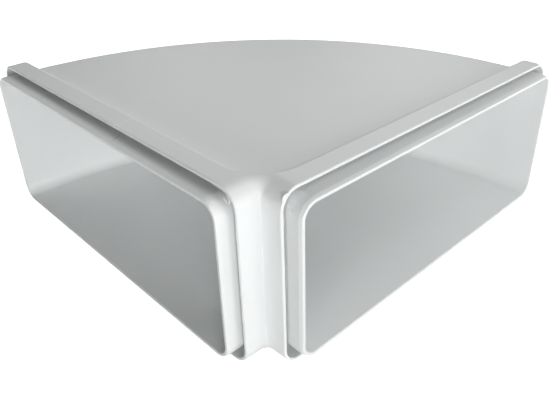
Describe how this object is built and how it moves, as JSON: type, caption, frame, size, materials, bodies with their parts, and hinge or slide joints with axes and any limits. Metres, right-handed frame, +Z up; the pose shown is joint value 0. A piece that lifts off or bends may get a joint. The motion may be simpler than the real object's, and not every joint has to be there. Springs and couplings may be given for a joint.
{
  "type": "rectangular duct elbow",
  "caption": "Flat rectangular ventilation duct elbow in white plastic: a right-angle bend with a curved back and a double-walled socket at each mouth.",
  "frame": {"origin": "middle of the bounding box, on the floor that the two collars stand on", "axes": "+Z up, one mouth faces -X, the other faces -Y, and the curved back faces +X +Y"},
  "size_m": [0.2436, 0.2436, 0.0946],
  "materials": {
    "white_plastic": "satin moulded white"
  },
  "bodies": {
    "root": {"duct_elbow": "white_plastic"}
  },
  "joints": []
}
